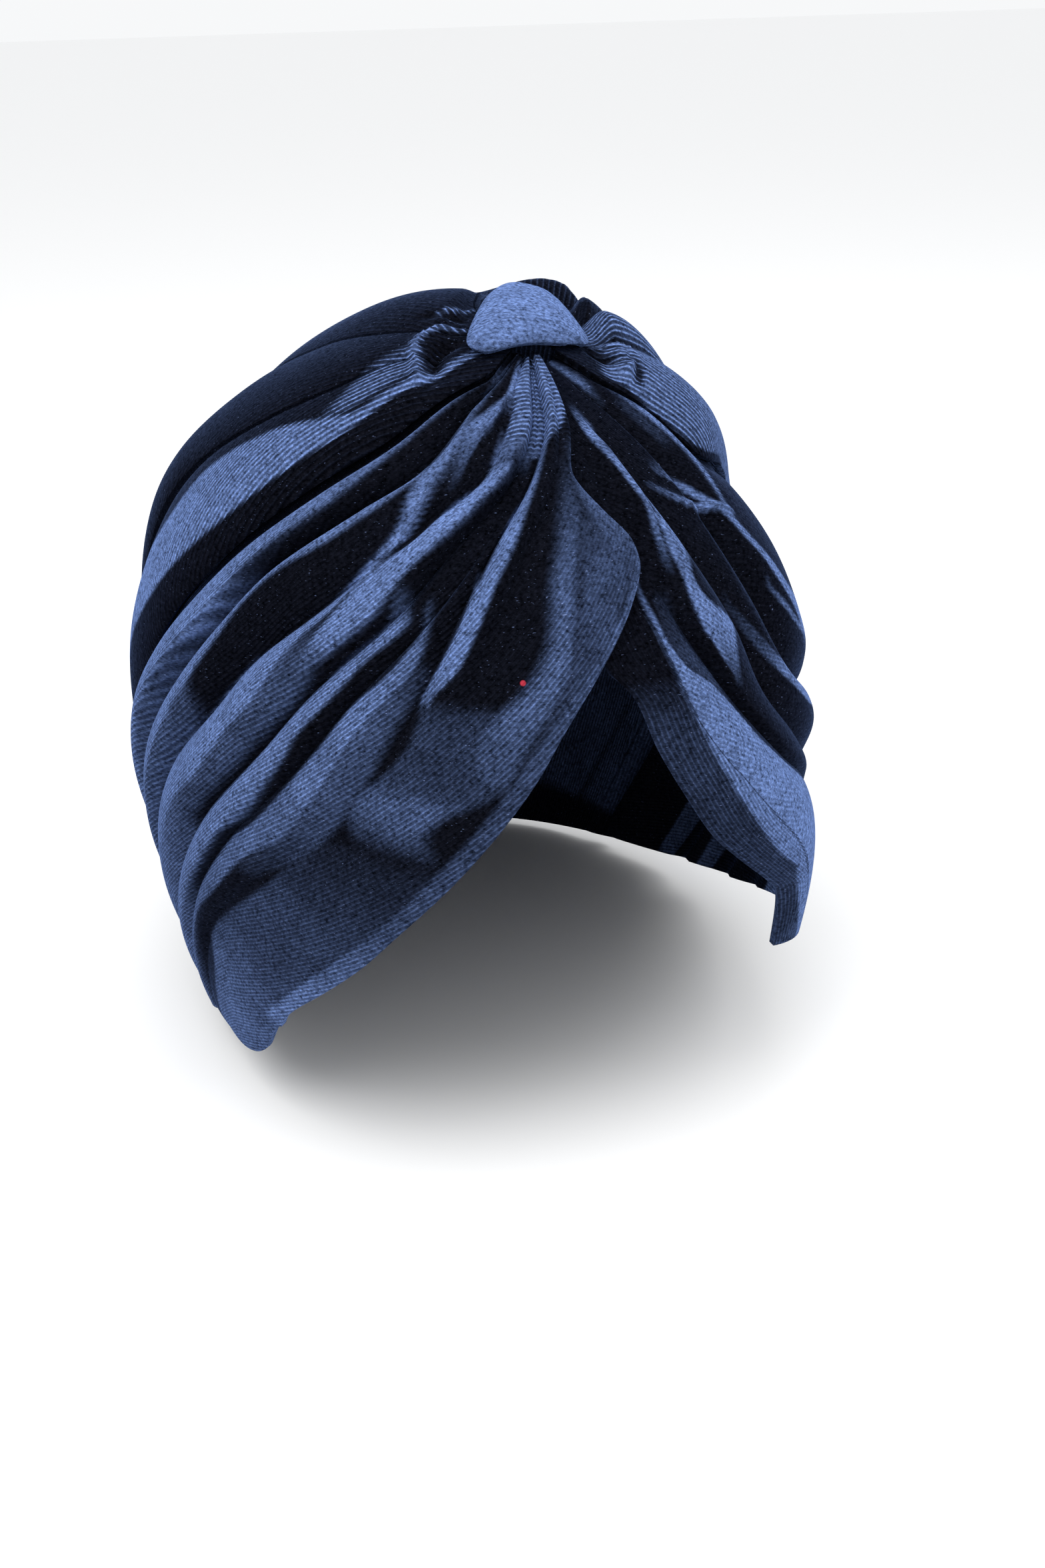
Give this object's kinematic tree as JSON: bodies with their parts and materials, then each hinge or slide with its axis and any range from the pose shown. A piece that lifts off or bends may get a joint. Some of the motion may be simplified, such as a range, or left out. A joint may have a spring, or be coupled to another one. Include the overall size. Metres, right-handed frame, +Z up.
{
  "type": "turban headwrap",
  "caption": "Gathered velvet turban headwrap: a puffed crown, two pleated drapes crossing over the forehead, and a band knotting the gather on top.",
  "frame": {"origin": "centre of the hollow at its widest level, where the headwrap is worn", "axes": "+Z up through the crown, -Y the front where the drapes cross, +X the wearer's left"},
  "size_m": [0.1635, 0.1945, 0.1758],
  "materials": {
    "velvet": "navy ribbed stretch velvet with a blue sheen"
  },
  "bodies": {
    "root": {"crown": "velvet", "right_drape": "velvet", "left_drape": "velvet", "knot_band": "velvet"}
  },
  "joints": []
}
